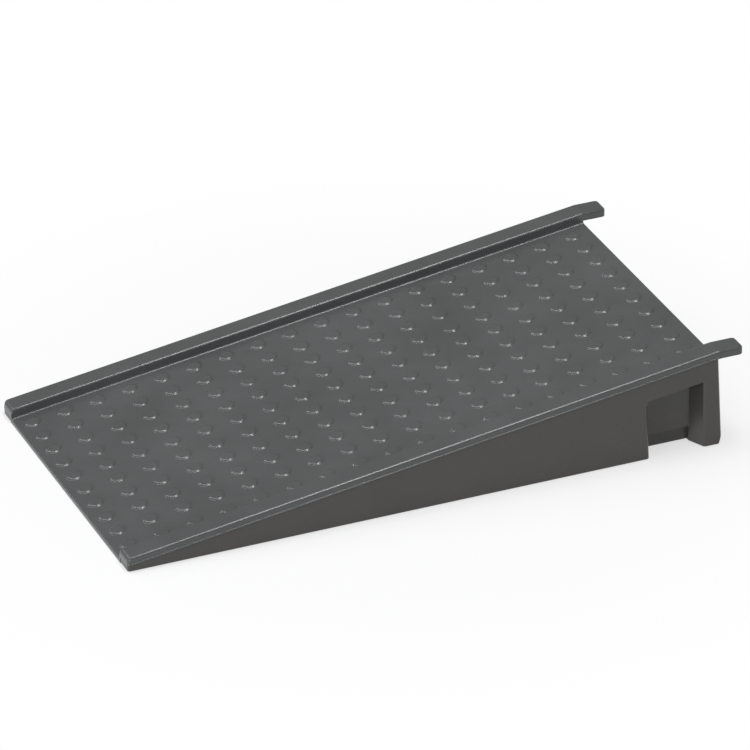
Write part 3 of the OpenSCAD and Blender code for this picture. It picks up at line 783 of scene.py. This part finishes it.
def soft_lamp(name, power, place, along, size, tone=(1, 1, 1)):
    """A rectangular lamp that faces the ramp's middle.

    Its back points from the middle to its place. Its first side runs along the direction given, less the
    part of that direction which points to the back.
    """
    lamp = bpy.data.lights.new(name, "AREA")
    lamp.shape = "RECTANGLE"
    lamp.size, lamp.size_y = size
    lamp.energy = power
    lamp.color = tone
    made = bpy.data.objects.new(name, lamp)
    bpy.context.scene.collection.objects.link(made)
    back = np.array(place) / np.linalg.norm(place)
    side = np.array(along) - back * np.dot(along, back)
    side /= np.linalg.norm(side)
    turn = np.eye(4)
    turn[:3, 0], turn[:3, 1], turn[:3, 2], turn[:3, 3] = side, np.cross(back, side), back, place
    made.matrix_world = Matrix(turn.tolist())


class RAMP_OT_stage(bpy.types.Operator):
    """The camera at the photograph's angle, a white floor and soft lamps"""

    bl_idname = "ramp.stage"
    bl_label = "Stage"

    def execute(self, context):
        scene = context.scene
        studio = scene.ramp_studio
        scene.view_settings.view_transform = "Standard"
        self.place_camera(scene)
        self.lay_floor(scene)
        world = bpy.data.worlds.new("white_surroundings")
        scene.world = world
        world.use_nodes = True
        tree = world.node_tree
        tree.nodes.clear()
        sky = add_node(tree, "ShaderNodeBackground", {"Color": WHITE, "Strength": studio.sky})
        add_node(tree, "ShaderNodeOutputWorld", {"Surface": sky.outputs[0]})
        self.hang_lamps(studio)
        return {"FINISHED"}

    def hang_lamps(self, studio):
        """Two long strips overhead, which studs and curb edges mirror, and a low lamp beyond the toe."""
        soft_lamp(
            "far_strip", studio.overhead, place=(-2.75, 3.1, 7.5), along=(0.46, -0.89, 0), size=(11.5, 1.2)
        )
        soft_lamp("near_strip", studio.near, place=(1.0, -1.2, 7.5), along=(0, -1, 0), size=(6.6, 1.5))
        soft_lamp(
            "toe_side_softbox", studio.side, place=(-5.2, -2.35, 0.75), along=(0.41, -0.91, 0),
            size=(3.0, 1.4), tone=(0.9, 0.95, 1)
        )

    def place_camera(self, scene):
        """A long lens, with the place and turn that bring the ramp's long edges and studs into line."""
        place = (-3.8970, -9.5419, 5.6465)
        tilt, roll, heading = (math.radians(angle) for angle in (61.716, 0.7626, -22.6825))
        camera = bpy.data.cameras.new("camera")
        camera.sensor_width = 36
        camera.lens = 322.16
        camera.shift_x = -0.00166
        camera.shift_y = 0.0001
        camera.clip_end = 100
        made = bpy.data.objects.new("camera", camera)
        scene.collection.objects.link(made)
        made.matrix_world = Matrix.Translation(place) @ Euler((tilt, roll, heading)).to_matrix().to_4x4()
        scene.camera = made

    def lay_floor(self, scene):
        """A flat square floor, far wider than the ramp."""
        reach = 30.0
        corners = np.array([[-reach, -reach, 0], [reach, -reach, 0], [reach, reach, 0], [-reach, reach, 0]])
        mesh = bpy.data.meshes.new("floor")
        mesh.from_pydata(corners, [], [(0, 1, 2, 3)])
        floor = bpy.data.objects.new("floor", mesh)
        scene.collection.objects.link(floor)
        tones = scene.ramp_colours
        mesh.materials.append(painted_floor("emulsion_rolled_white", tones.floor, tones.bounce))


class RAMP_PT_sidebar(bpy.types.Panel):
    """Lists the ramp's pieces, sizes and colours"""

    bl_idname = "RAMP_PT_sidebar"
    bl_label = "Access ramp"
    bl_space_type = "VIEW_3D"
    bl_region_type = "UI"
    bl_category = "Access ramp"

    def draw(self, context):
        for operator in OPERATORS:
            self.layout.operator(operator.bl_idname)
        for group in (context.scene.ramp_sizes, context.scene.ramp_colours, context.scene.ramp_studio):
            box = self.layout.box()
            for name in group.__annotations__:
                box.prop(group, name)


OPERATORS = (RAMP_OT_cover, RAMP_OT_frame, RAMP_OT_webs, RAMP_OT_screws, RAMP_OT_feet, RAMP_OT_stage)
CLASSES = (RampSizes, RampColours, StudioSettings, *OPERATORS, RAMP_PT_sidebar)


def register():
    for part in CLASSES:
        bpy.utils.register_class(part)
    bpy.types.Scene.ramp_sizes = PointerProperty(type=RampSizes)
    bpy.types.Scene.ramp_colours = PointerProperty(type=RampColours)
    bpy.types.Scene.ramp_studio = PointerProperty(type=StudioSettings)


def unregister():
    for name in ("ramp_sizes", "ramp_colours", "ramp_studio"):
        delattr(bpy.types.Scene, name)
    for part in reversed(CLASSES):
        bpy.utils.unregister_class(part)


def main():
    register()
    bpy.ops.ramp.cover()
    bpy.ops.ramp.frame()
    bpy.ops.ramp.webs()
    bpy.ops.ramp.screws()
    bpy.ops.ramp.feet()
    bpy.ops.ramp.stage()


if __name__ == "__main__":
    main()
